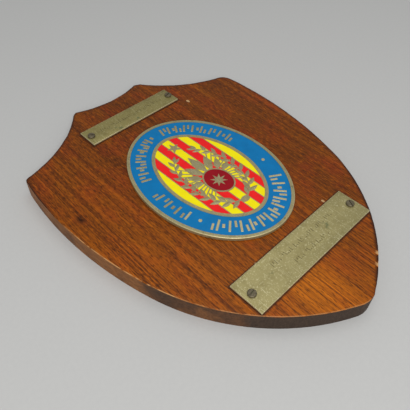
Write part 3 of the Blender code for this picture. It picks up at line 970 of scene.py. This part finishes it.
@dataclass
class Medallion:
    """The oval casting: rim, blue band with strokes, striped field, laurel, palmette and roundel.

    Heights are above the casting's underside, and places above its middle. Shares are of the size
    named with them.
    """

    node: str = "medallion"
    turn: float = math.radians(2.2)
    steps: int = 160
    rim: float = 2.05 * MM
    rim_bevel: float = 0.4 * MM
    band: float = 13.0 * MM
    ring: float = 2.1 * MM
    bed: float = 1.65 * MM
    rim_top: float = 2.0 * MM
    ring_top: float = 1.92 * MM
    root: float = 0.8 * MM
    line_top: float = 1.75 * MM
    line_width: float = 0.5 * MM
    stripes: int = 9
    soft_edge: float = 0.2 * MM
    groups: Sequence[tuple[float, float, int]] = (
        (202.0, 168.0, 4), (156.0, 96.0, 8), (84.0, 12.0, 9), (-144.0, -36.0, 12))
    stroke_top: float = 1.87 * MM
    stroke_width: float = 1.4 * MM
    stroke_spacing: float = 2.7 * MM
    upper_stroke: float = 6.4 * MM
    lower_stroke: float = 7.8 * MM
    short_share: float = 0.56
    short_shift: float = 0.22
    short_reach: float = 0.5
    dot_shares: Pair = (1.2, 1.9)
    dot_reach: float = 0.75
    stud: float = 1.1 * MM
    stud_angles: Pair = (math.radians(-19.0), math.radians(209.0))
    leaf_edge: float = 1.83 * MM
    leaf_ridge: float = 2.05 * MM
    leaf_widths: Span = (0.0, 0.45, 0.78, 0.98, 1.0, 0.88, 0.64, 0.34, 0.0)
    leaf: Pair = (7.4 * MM, 2.7 * MM)
    leaf_spread: float = math.radians(34.0)
    leaf_shrink: float = 0.22
    leaves: int = 18
    branch: Pair = (16.5 * MM, 26.5 * MM)
    branch_up: float = -2.0 * MM
    branch_angles: Pair = (math.radians(-82.0), math.radians(58.0))
    stem_parts: int = 30
    stem_width: float = 1.0 * MM
    stem_taper: float = 0.4
    stem_lap: float = 0.15
    stem_step: float = 0.02 * MM
    fan_leaf: Pair = (16.9 * MM, 5.6 * MM)
    fan_leaves: int = 7
    fan_start: float = 9.4 * MM
    fan_turn: float = math.radians(21.0)
    fan_shorter: float = 0.74
    fan_least_width: float = 0.55
    rays_a_side: int = 12
    ray_angles: Pair = (-44.0, 9.0)
    ray_start: float = 10.6 * MM
    ray_ends_mm: Point = (17.0, 1.0, 0.5)
    ray_width: float = 0.8 * MM
    ray_top: float = 1.79 * MM
    ray_squeeze: float = 0.86
    ray_up: float = 4.0 * MM
    roundel: Pair = (8.8 * MM, 10.6 * MM)
    roundel_up: float = -8.5 * MM
    roundel_rim: float = 0.9 * MM
    roundel_top: float = 1.96 * MM
    roundel_bed: float = 1.80 * MM
    roundel_star: tuple[int, float] = (8, 5.2 * MM)
    top_star: tuple[int, float, float] = (5, 4.6 * MM, 30.0 * MM)
    star_notch: float = 0.42
    star_rise: float = 0.10 * MM
    knot: Pair = (3.0 * MM, 2.1 * MM)
    knot_top: float = 1.98 * MM
    knot_up: float = -29.2 * MM
    rim_sides: int = 7
    roundel_sides: int = 64
    knot_sides: int = 24
    stud_sides: int = 20
    smooth_below: float = 13.5
    bed_facing: float = 0.95
    rim_top_facing: float = 0.99
    # Where the painted highlight goes on the casting's rim and relief.
    highlight_facing: float = 0.2
    highlight_below: float = -0.25
    half: Pair = (0.0, 0.0)

    def build(self) -> Object:
        """Models the medallion, dresses it and puts it in place of its CAD node."""
        low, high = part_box(self.node)
        middle, size = (low + high) / 2, (high - low) / 2
        cos, sin = math.cos(self.turn) ** 2, math.sin(self.turn) ** 2
        self.half = tuple(math.sqrt((a ** 2 * cos - b ** 2 * sin) / (cos * cos - sin * sin))
                          for a, b in ((size.x, size.y), (size.y, size.x)))
        casting = self.casting()
        relief = [*self.stripe_lines(), *self.rays(), *self.laurel(), *self.palmette(),
                  *self.centre_pieces(), *self.strokes()]
        combine(casting, relief, "UNION")
        dress(casting, (Finish.CASTING, Finish.BLUE, Finish.YELLOW, Finish.RED, Finish.DARK_RED, Finish.RIM),
              self.finish_of)
        casting.data.transform(at(middle.x, middle.y, low.z, self.turn))
        shade(casting, self.smooth_below)
        install(casting, "medallion_enamel", self.node)
        return casting

    def oval_half(self, inwards: float) -> Pair:
        """The half sizes of the oval that lies a distance inside the outer one."""
        return (self.half[0] - inwards, self.half[1] - inwards)

    def casting(self) -> Object:
        """Models the oval body with its rim, blue bed, inner ring and striped bed by insets."""
        body = disc("enamelled_medallion", self.half, 0.0, self.rim_top, self.steps)
        with editing(body):
            pick(body, "faces", lambda face: face.normal.z > FACING_UP)
            for inwards, rise in ((self.rim, self.bed - self.rim_top), (self.band, self.ring_top - self.bed),
                                  (self.ring, self.bed - self.ring_top)):
                bpy.ops.mesh.inset(thickness=inwards)
                extrude(rise)
            bpy.ops.mesh.select_mode(type="EDGE")
            at_top = above(self.rim_top - SAME_PLACE)
            pick(body, "edges", lambda edge: at_top(edge) and all(
                math.hypot(v.co.x / self.half[0], v.co.y / self.half[1]) > 0.995 for v in edge.verts))
            bpy.ops.mesh.bevel(offset=self.rim_bevel, segments=self.rim_sides, affect="EDGES",
                               clamp_overlap=False)
        return body

    def stripe_lines(self) -> list[Object]:
        """The thin brass lines between the coloured stripes."""
        half = self.oval_half(self.rim + self.band + self.ring)
        lines = []
        for index in range(1, self.stripes):
            x = half[0] * (2 * index / self.stripes - 1)
            reach = half[1] * math.sqrt(1 - (x / half[0]) ** 2) + self.ring / 2
            line = bar(f"line_{index}", self.line_width, 2 * reach, self.root, self.line_top)
            line.data.transform(at(x, 0))
            lines.append(line)
        return lines

    def leaf_piece(self, name: str, length: float, width: float) -> Object:
        """A pointed leaf that grows from the origin along +Y, with a raised middle.

        Args:
            name: The leaf's name.
            length: From its foot to its tip.
            width: Across its widest place.

        Returns:
            The leaf, settled.
        """
        rows = len(self.leaf_widths) - 1
        leaf = primitive("grid", name, x_subdivisions=2, y_subdivisions=rows, size=1.0, location=(0, 0, 0))
        with editing(leaf, "VERT"):
            for row, share in enumerate(self.leaf_widths):
                pick(leaf, "verts", lambda v: abs(v.co.y + 0.5 - row / rows) < 0.01)
                bpy.ops.transform.resize(value=(share, 1, 1), center_override=(0, 0, 0))
            pick_all()
            bpy.ops.mesh.remove_doubles(threshold=1e-5)
            bpy.ops.transform.translate(value=(0, 0.5, 0))
            bpy.ops.transform.resize(value=(width, length, 1), center_override=(0, 0, 0))
            bpy.ops.transform.translate(value=(0, 0, self.leaf_edge))
            pick(leaf, "verts", lambda v: abs(v.co.x) < SAME_PLACE and 0.05 < v.co.y / length < 0.95)
            bpy.ops.transform.translate(value=(0, 0, self.leaf_ridge - self.leaf_edge))
            pick_all("FACE")
            extrude(self.root - self.leaf_edge)
            face_outwards()
        return leaf

    def on_branch(self, side: int, share: float) -> Vector:
        """A point on the stem of a branch.

        Args:
            side: 1 for the branch on the side of +X, and -1 for the other.
            share: How far up the branch, from 0 to 1.

        Returns:
            The point.
        """
        start, end = self.branch_angles
        angle = start + (end - start) * share
        return Vector((side * self.branch[0] * math.cos(angle),
                       self.branch_up + self.branch[1] * math.sin(angle), 0))

    def laurel(self) -> list[Object]:
        """The two laurel branches: a stem of short bars and leaves on alternate sides."""
        leaf = self.leaf_piece("laurel_leaf", *self.leaf)
        pieces = []
        for side in (1, -1):
            for part in range(self.stem_parts):
                foot = self.on_branch(side, part / self.stem_parts)
                head = self.on_branch(side, (part + 1 + self.stem_lap) / self.stem_parts)
                along, middle = head - foot, (foot + head) / 2
                stem = bar(f"stem_{part}", self.stem_width * (1 - self.stem_taper * part / self.stem_parts),
                           along.length, self.root, self.leaf_edge - self.stem_step * (1 + part % 2))
                stem.data.transform(at(middle.x, middle.y, 0, math.atan2(along.y, along.x) - math.pi / 2))
                pieces.append(stem)
            for index in range(self.leaves + 1):
                share = min((index + 0.6) / self.leaves, 0.99)
                here, ahead = self.on_branch(side, share), self.on_branch(side, share + 0.01)
                heading = math.atan2(ahead.y - here.y, ahead.x - here.x) - math.pi / 2
                spread = 0.0 if index == self.leaves else self.leaf_spread * (1 if index % 2 == 0 else -1)
                size = 1.0 - self.leaf_shrink * share
                pieces.append(copy_of(leaf, at(here.x, here.y, 0, heading + spread)
                                      @ Matrix.Diagonal((size, size, 1, 1))))
        discard(leaf)
        return pieces

    def palmette(self) -> list[Object]:
        """The fan of leaves that stands on the roundel."""
        leaf = self.leaf_piece("palmette_leaf", *self.fan_leaf)
        pieces = []
        for index in range(self.fan_leaves):
            offset = index - self.fan_leaves // 2
            length = self.fan_shorter ** abs(offset)
            width = self.fan_least_width + (1 - self.fan_least_width) * length
            turn = -offset * self.fan_turn
            place = at(-self.fan_start * math.sin(turn), self.roundel_up + self.fan_start * math.cos(turn),
                       0, turn)
            pieces.append(copy_of(leaf, place @ Matrix.Diagonal((width, length, 1, 1))))
        discard(leaf)
        return pieces

    def star(self, name: str, points: int, reach: float, up: float) -> Object:
        """A star with its middle raised.

        Args:
            name: The star's name.
            points: How many points it has.
            reach: From its middle to a point.
            up: How far its middle is above the medallion's.

        Returns:
            The star, settled.
        """
        star = primitive("circle", name, vertices=2 * points, radius=reach, fill_type="NGON",
                         location=(0, 0, self.root))
        star.rotation_euler.z = math.pi / 2 if star.data.vertices[0].co.x > reach / 2 else 0.0
        settle(star)
        order = {v.index: math.atan2(v.co.y, v.co.x) for v in star.data.vertices}
        with editing(star, "VERT"):
            pick(star, "verts", lambda v: round((order[v.index] - math.pi / 2) * points / math.pi) % 2 == 1)
            bpy.ops.transform.resize(value=(self.star_notch, self.star_notch, 1),
                                     center_override=(0, 0, self.root))
            pick_all("FACE")
            extrude(self.stroke_top - self.root)
            bpy.ops.mesh.poke(offset=self.star_rise)
            face_outwards()
        star.data.transform(at(0, up))
        return star

    def rays(self) -> list[Object]:
        """Fine brass rays on both sides, from beside the roundel out to the laurel."""
        first, step = self.ray_angles
        shortest, longer_if_odd, longer_each = self.ray_ends_mm
        pieces = []
        for side in (1, -1):
            for index in range(self.rays_a_side):
                angle = math.radians(first + step * index)
                end = (shortest + longer_if_odd * (index % 2) + longer_each * index) * MM
                middle = (self.ray_start + end) / 2
                ray = bar("ray", self.ray_width, end - self.ray_start, self.root, self.ray_top)
                ray.data.transform(at(side * middle * math.cos(angle) * self.ray_squeeze,
                                      self.roundel_up + self.ray_up + middle * math.sin(angle),
                                      0, side * (angle - math.pi / 2)))
                pieces.append(ray)
        return pieces

    def centre_pieces(self) -> list[Object]:
        """The roundel with its star, the knot under the branches and the small star above them."""
        boss = disc("roundel", self.roundel, self.root, self.roundel_top, self.roundel_sides)
        with editing(boss):
            pick(boss, "faces", lambda face: face.normal.z > FACING_UP)
            bpy.ops.mesh.inset(thickness=self.roundel_rim)
            extrude(self.roundel_bed - self.roundel_top)
        boss.data.transform(at(0, self.roundel_up))
        knot = disc("knot", self.knot, self.root, self.knot_top, self.knot_sides)
        round_edges(knot, self.soft_edge)
        knot.data.transform(at(0, self.knot_up))
        return [boss, knot, self.star("roundel_star", *self.roundel_star, self.roundel_up),
                self.star("top_star", *self.top_star)]

    def strokes(self) -> list[Object]:
        """The groups of plain strokes in the blue band, and the two studs between them."""
        middle = self.oval_half(self.rim + self.band / 2)
        pieces = []
        for first, last, count in self.groups:
            length = self.lower_stroke if first < -90.0 else self.upper_stroke
            tall, short, dot = (bar(name, width, tall, self.root, self.stroke_top) for name, width, tall in (
                ("tall", self.stroke_width, length), ("short", self.stroke_width, length * self.short_share),
                ("dot", self.stroke_width * self.dot_shares[0], self.stroke_width * self.dot_shares[1])))
            partners = ((short, self.short_shift, self.short_reach), (dot, 0.0, self.dot_reach),
                        (short, -self.short_shift, self.short_reach))
            for index in range(count):
                angle = math.radians(first + (last - first) * (index + 0.5) / count)
                here = Vector((middle[0] * math.cos(angle), middle[1] * math.sin(angle)))
                out = Vector((math.cos(angle) / middle[0], math.sin(angle) / middle[1])).normalized()
                side = Vector((out.y, -out.x))
                turn = math.atan2(out.y, out.x) - math.pi / 2
                partner, shift, reach = partners[index % 3]
                foot = here - side * self.stroke_spacing / 2
                next_to = here + side * self.stroke_spacing * reach + out * length * shift
                pieces += [copy_of(tall, at(*foot, 0, turn)), copy_of(partner, at(*next_to, 0, turn))]
            discard(tall, short, dot)
        for index, angle in enumerate(self.stud_angles):
            stud = disc(f"stud_{index}", (self.stud, self.stud), self.root, self.stroke_top,
                        self.stud_sides, (middle[0] * math.cos(angle), middle[1] * math.sin(angle)))
            round_edges(stud, self.soft_edge)
            pieces.append(stud)
        return pieces

    def finish_of(self, face: Face) -> Finish:
        """Chooses enamel for the beds by their place, and brass elsewhere, with a painted highlight on the
        rim.

        Args:
            face: A face of the casting.

        Returns:
            Its finish.
        """
        mesh = bpy.data.objects["enamelled_medallion"].data
        points = [mesh.vertices[i].co for i in face.vertices]
        level, facing = points[0].z, face.normal.z
        inner = self.oval_half(self.rim + self.band + self.ring / 2)
        outside = math.hypot(points[0].x / inner[0], points[0].y / inner[1]) > 1.0
        if facing < self.bed_facing or abs(level - self.bed) > SAME_LEVEL:
            if abs(level - self.roundel_bed) < SAME_LEVEL and facing > self.bed_facing:
                return Finish.DARK_RED
            # Painted highlight: the rim's bevel and the relief in the lower part of the band take the paler
            # brass, and rubbed marks it.
            flat_rim = abs(level - self.rim_top) < SAME_LEVEL and facing > self.rim_top_facing
            upper_stroke = level < self.rim_top - 0.05 * MM and points[0].y > self.highlight_below * self.half[1]
            rubbed = outside and facing > self.highlight_facing and not flat_rim and not upper_stroke
            return Finish.RIM if rubbed else Finish.CASTING
        if outside:
            return Finish.BLUE
        x = (min(p.x for p in points) + max(p.x for p in points)) / 2
        stripe = int((x / self.oval_half(self.rim + self.band + self.ring)[0] + 1) / 2 * self.stripes)
        return Finish.YELLOW if stripe % 2 == 0 else Finish.RED


@dataclass
class NamePlate:
    """A thin brass plate with eased edges, rows of shallow engraved strokes and two screw holes.

    A row is where it starts and ends along the plate, its height on it, and its number of places.
    """

    node: str
    name: str
    size: Pair
    turn: float
    rows: Sequence[tuple[float, float, float, int]]
    screws: tuple[str, str]
    brass: Finish
    stroke: float = 0.26 * MM
    height: float = 2.7 * MM
    depth: float = 0.14 * MM
    short_share: float = 0.5
    flat_share: float = 0.42
    group: int = 6
    leans: Span = (0.0, math.radians(-16.0), 0.0, math.radians(14.0))
    rises: Span = (0.0, 0.22, 0.0, -0.3, -0.22)
    corner: float = 0.35 * MM
    eased: float = 0.24 * MM
    hole: float = 1.4 * MM
    hole_sides: int = 24
    edge_facing: Pair = (-0.1, 0.95)

    def build(self) -> Object:
        """Models the plate, dresses it and puts it in place of its CAD node."""
        low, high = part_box(self.node)
        middle, thickness = (low + high) / 2, high.z - low.z
        plate = bar(self.name, *self.size, 0.0, thickness, eased_share=0.0)
        with editing(plate, "EDGE"):
            pick(plate, "edges", lambda edge: abs(edge.verts[0].co.z - edge.verts[1].co.z) > thickness / 2)
            bpy.ops.mesh.bevel(offset=self.corner, segments=3, affect="EDGES")
            pick(plate, "edges", above(thickness - SAME_PLACE))
            bpy.ops.mesh.bevel(offset=self.eased, segments=2, affect="EDGES")
        finishes = (self.brass, Finish.INK, Finish.RUBBED)
        dress(plate, finishes, lambda face: self.brass)
        cutters = self.engraving(thickness)
        for cutter in cutters:
            dress(cutter, finishes, lambda face: Finish.INK)
        combine(plate, cutters, "DIFFERENCE")
        turn = Matrix.Rotation(self.turn, 4, "Z")
        for screw in self.screws:
            screw_low, screw_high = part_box(screw)
            place = turn.inverted() @ ((screw_low + screw_high) / 2 - middle)
            hole = disc("hole", (self.hole, self.hole), -1.5 * thickness, 2.5 * thickness,
                        self.hole_sides, place.xy)
            combine(plate, [hole], "DIFFERENCE")
        plate.data.transform(at(middle.x, middle.y, low.z, self.turn))
        # The plate's edges take the paler brass: rubbed, and a painted highlight.
        for face in plate.data.polygons:
            on_edge = self.edge_facing[0] < face.normal.z < self.edge_facing[1]
            if finishes[face.material_index] is self.brass and on_edge:
                face.material_index = finishes.index(Finish.RUBBED)
        shade(plate, SMOOTH_BELOW)
        install(plate, "plate_brass", self.node)
        return plate

    def engraving(self, thickness: float) -> list[Object]:
        """The cutters for the engraved rows: upright, leaning and short strokes in turn.

        Args:
            thickness: The plate's thickness.

        Returns:
            The cutters.
        """
        low, high = thickness - self.depth, thickness + self.depth
        upright = bar("upright", self.stroke, self.height, low, high)
        short = bar("short", self.stroke, self.height * self.short_share, low, high)
        flat = bar("flat", self.height * self.flat_share, self.stroke, low, high)
        shapes = (upright, short, upright, flat, short)
        pieces = []
        for start, end, up, count in self.rows:
            for index in range(count):
                if index % self.group == self.group - 1:
                    continue
                turn = index % len(shapes)
                pieces.append(copy_of(shapes[turn], at(
                    start + (end - start) * index / (count - 1), up + self.rises[turn] * self.height,
                    0, self.leans[index % len(self.leans)])))
        discard(upright, short, flat)
        return pieces


@dataclass
class SlottedScrew:
    """A small domed wood screw: head with a slot, and the shank under it."""

    node: str
    slot_turn: float
    head: float = 2.4 * MM
    head_height: float = 1.1 * MM
    crown_share: float = 0.22
    dome_share: float = 0.21
    shank: float = 1.1 * MM
    point_length: float = 2.0 * MM
    point_share: float = 0.12
    slot_width: float = 0.7 * MM
    slot_depth: float = 0.6 * MM
    sides: int = 48

    def build(self) -> Object:
        """Models the screw, dresses it and puts it in place of its CAD node."""
        low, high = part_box(self.node)
        middle = (low + high) / 2
        seat = high.z - self.head_height
        screw = disc(f"domed_{self.node}", (self.head, self.head), 0.0, self.head_height, self.sides)
        with editing(screw):
            pick(screw, "faces", lambda face: face.normal.z > FACING_UP)
            bpy.ops.mesh.inset(thickness=self.head * self.crown_share)
            pick(screw, "faces", lambda face: face.normal.z < -FACING_UP)
            bpy.ops.mesh.inset(thickness=self.head - self.shank)
            extrude(low.z - seat + self.point_length)
            extrude(-self.point_length)
            bpy.ops.transform.resize(value=(self.point_share, self.point_share, 1))
            bpy.ops.mesh.select_mode(type="EDGE")
            at_top = above(self.head_height - SAME_PLACE)
            pick(screw, "edges", lambda edge: at_top(edge) and all(
                v.co.xy.length > self.head * 0.95 for v in edge.verts))
            bpy.ops.mesh.bevel(offset=self.head * self.dome_share, segments=4, affect="EDGES",
                               clamp_overlap=False)
        slot = bar("slot", self.slot_width, 3 * self.head, self.head_height - self.slot_depth,
                   2 * self.head_height)
        slot.data.transform(at(0, 0, 0, self.slot_turn + math.pi / 2))
        combine(screw, [slot], "DIFFERENCE")
        dress(screw, (Finish.SCREW,), lambda face: Finish.SCREW)
        screw.data.transform(at(middle.x, middle.y, seat))
        shade(screw, SMOOTH_BELOW)
        install(screw, "screw_brass", self.node)
        return screw


@dataclass
class Studio:
    """The pale card, two soft lights, an even sky and the camera at the photograph's angle.

    A light is its name, its place, where it points, its width and its power in watts.
    """

    camera_place: Point = (-0.1424, -0.1358, 0.2089)
    looks_along: Point = (0.47054, 0.47295, -0.74492)
    camera_roll: float = math.radians(2.04)
    focal_px: float = 470.3
    image_px: float = 410.0
    sensor_mm: float = 36.0
    clip_start: float = 0.01
    card_size: float = 6.0
    card_gap: float = 0.05 * MM
    sky: Colour = (0.95, 0.98, 1.0, 1.0)
    sky_strength: float = 0.34
    lights: Sequence[tuple[str, Point, Point, float, float]] = (
        ("near_softbox", (-0.42, -0.55, 0.74), (-0.03, -0.05, 0.0), 0.7, 6.6),
        ("overhead_softbox", (0.28, 0.10, 1.10), (0.05, 0.03, 0.0), 0.8, 1.8))

    def build(self) -> None:
        """Makes the card, the lights and the camera."""
        self.add_card()
        self.add_lights()
        self.add_camera()
        LOG.info("studio: card, lights and camera")

    def add_card(self) -> None:
        """Lays the card under the plaque."""
        card = settle(primitive("plane", "backdrop_card", size=self.card_size,
                                location=(0, 0, -self.card_gap)))
        dress(card, (Finish.CARD,))

    def add_lights(self) -> None:
        """Hangs a broad soft light by the camera and a weaker one overhead, under an even pale sky."""
        world = bpy.data.worlds.new("studio")
        bpy.context.scene.world = world
        world.use_nodes = True
        feed(world.node_tree.nodes["Background"], {"Color": self.sky, "Strength": self.sky_strength})
        for name, place, target, size, power in self.lights:
            lamp = bpy.data.lights.new(name, "AREA")
            lamp.shape = "DISK"
            lamp.size = size
            lamp.energy = power
            light = bpy.data.objects.new(name, lamp)
            bpy.context.scene.collection.objects.link(light)
            light.location = place
            light.rotation_euler = (Vector(target) - Vector(place)).to_track_quat("-Z", "Y").to_euler()
        bpy.context.scene.view_settings.view_transform = "Standard"

    def add_camera(self) -> None:
        """Places the camera as the photograph's was, from its fitted place, direction and roll."""
        data = bpy.data.cameras.new("photo_camera")
        data.sensor_width = self.sensor_mm
        data.lens = self.focal_px / self.image_px * self.sensor_mm
        data.clip_start = self.clip_start
        camera = bpy.data.objects.new("photo_camera", data)
        bpy.context.scene.collection.objects.link(camera)
        ahead = Vector(self.looks_along).normalized()
        level = ahead.cross(Vector((0, 0, 1))).normalized()
        right = level * math.cos(self.camera_roll) + level.cross(ahead) * math.sin(self.camera_roll)
        turn = Matrix((right, right.cross(ahead), -ahead)).transposed().to_4x4()
        camera.matrix_world = Matrix.Translation(self.camera_place) @ turn
        bpy.context.scene.camera = camera


def main() -> None:
    logging.basicConfig(level=logging.INFO, format="%(name)s %(message)s")
    Studio().build()
    ShieldBoard().build()
    Medallion().build()
    NamePlate("lower_name_plate", "engraved_lower_plate", (92.8 * MM, 20.9 * MM), math.radians(1.48),
              ((-22.0 * MM, 28.0 * MM, 3.8 * MM, 34), (-11.0 * MM, 16.0 * MM, -2.9 * MM, 19)),
              ("lower_left_screw", "lower_right_screw"), Finish.LOWER_PLATE).build()
    NamePlate("upper_name_plate", "engraved_upper_plate", (71.2 * MM, 15.0 * MM), math.radians(1.32),
              ((-24.0 * MM, 27.0 * MM, 0.6 * MM, 36),), ("upper_left_screw", "upper_right_screw"),
              Finish.UPPER_PLATE).build()
    for node, turn in (("lower_left_screw", 8.0), ("lower_right_screw", 63.0),
                       ("upper_left_screw", -32.0), ("upper_right_screw", 12.0)):
        SlottedScrew(node, math.radians(turn)).build()


if __name__ == "__main__":
    main()
